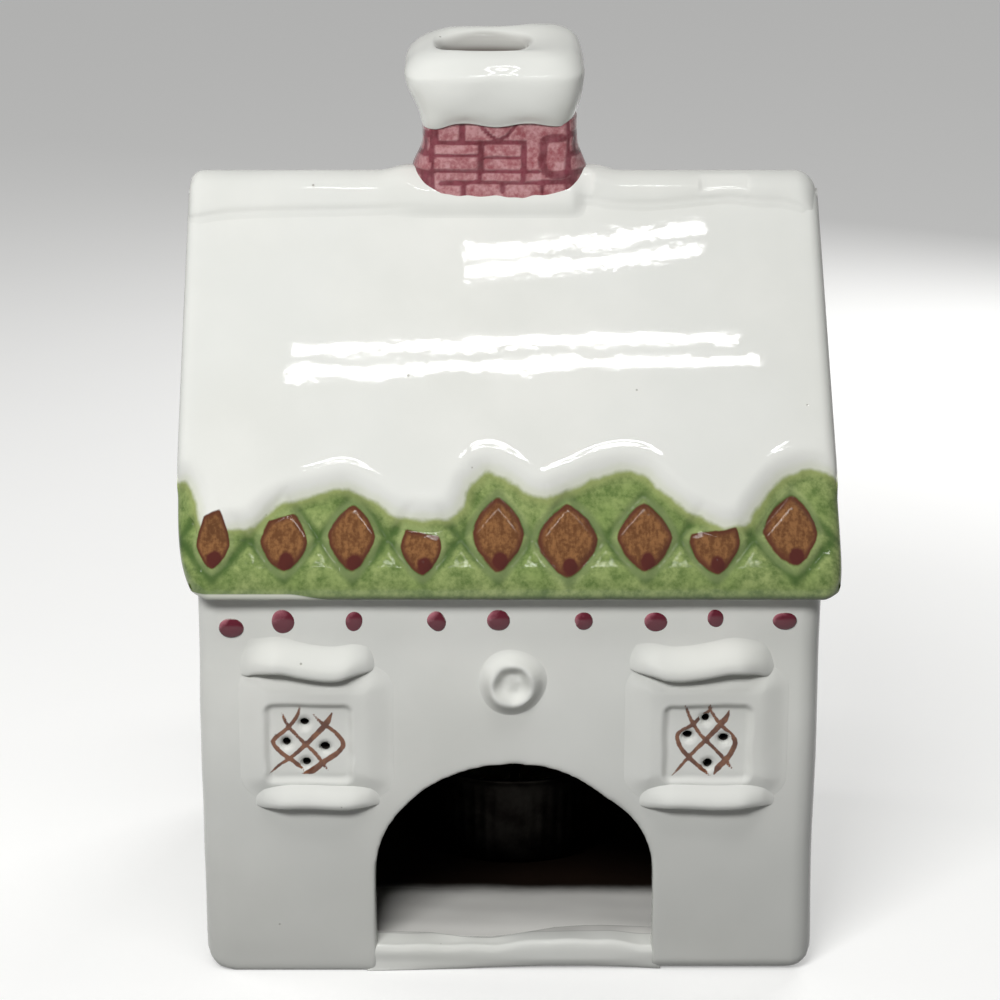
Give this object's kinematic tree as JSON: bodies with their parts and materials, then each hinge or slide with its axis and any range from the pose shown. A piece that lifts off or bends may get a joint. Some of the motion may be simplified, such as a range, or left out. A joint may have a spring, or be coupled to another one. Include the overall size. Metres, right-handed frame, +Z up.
{
  "type": "ceramic house luminary",
  "caption": "Glazed ceramic cottage tealight holder with arched doorway, snow-covered tiled roof, open brick chimney, relief windows with pierced panes, and a tealight that slides out.",
  "frame": {"origin": "on the surface that the house stands on, under the middle of the house", "axes": "+X to the right across the front, +Y from the front with the doorway to the back, +Z up"},
  "size_m": [0.103, 0.084, 0.145],
  "materials": {
    "white_glaze": "glossy white glaze with fine pinholes and faint streaks",
    "tile_glaze": "brushed green underglaze with brown diamonds, glossy",
    "brick_glaze": "pink brick with crimson joints, brushed underglaze, glossy",
    "bead_glaze": "crimson dabs, glossy",
    "dark_tin": "thin pressed metal, smoked dark",
    "paraffin": "paraffin wax, satin",
    "wick_cotton": "charred cotton"
  },
  "bodies": {
    "house": {"floor_slab": "white_glaze", "front_wall": "white_glaze", "back_wall": "white_glaze", "right_gable_wall": "white_glaze", "left_gable_wall": "white_glaze", "doorstep_snow": "white_glaze", "wreath": "white_glaze", "roof_slab_front": "white_glaze", "roof_slab_back": "white_glaze", "snow_blanket_front": "white_glaze", "snow_blanket_back": "white_glaze", "ridge_snow": "white_glaze", "chimney_snow_cap": "white_glaze", "front_left_window_surround": "white_glaze", "front_left_window_lintel_snow": "white_glaze", "front_left_window_sill_snow": "white_glaze", "front_right_window_surround": "white_glaze", "front_right_window_lintel_snow": "white_glaze", "front_right_window_sill_snow": "white_glaze", "back_left_window_surround": "white_glaze", "back_left_window_lintel_snow": "white_glaze", "back_left_window_sill_snow": "white_glaze", "back_right_window_surround": "white_glaze", "back_right_window_lintel_snow": "white_glaze", "back_right_window_sill_snow": "white_glaze", "right_side_window_surround": "white_glaze", "right_side_window_lintel_snow": "white_glaze", "right_side_window_sill_snow": "white_glaze", "left_side_window_surround": "white_glaze", "left_side_window_lintel_snow": "white_glaze", "left_side_window_sill_snow": "white_glaze", "tile_course_front": "tile_glaze", "tile_course_back": "tile_glaze", "chimney_stack": "brick_glaze", "front_rafter_bead_1": "bead_glaze", "front_rafter_bead_2": "bead_glaze", "front_rafter_bead_3": "bead_glaze", "front_rafter_bead_4": "bead_glaze", "front_rafter_bead_5": "bead_glaze", "front_rafter_bead_6": "bead_glaze", "front_rafter_bead_7": "bead_glaze", "front_rafter_bead_8": "bead_glaze", "front_rafter_bead_9": "bead_glaze", "back_rafter_bead_1": "bead_glaze", "back_rafter_bead_2": "bead_glaze", "back_rafter_bead_3": "bead_glaze", "back_rafter_bead_4": "bead_glaze", "back_rafter_bead_5": "bead_glaze", "back_rafter_bead_6": "bead_glaze", "back_rafter_bead_7": "bead_glaze", "back_rafter_bead_8": "bead_glaze", "back_rafter_bead_9": "bead_glaze"},
    "tealight": {"tealight_cup": "dark_tin", "tealight_wax": "paraffin", "tealight_wick_holder": "dark_tin", "tealight_wick": "wick_cotton"}
  },
  "joints": [
    {"name": "tealight_slide", "type": "slide", "parent": "house", "child": "tealight", "axis": [0, -0.9988, 0.0499], "range_m": [0, 0.09]}
  ]
}
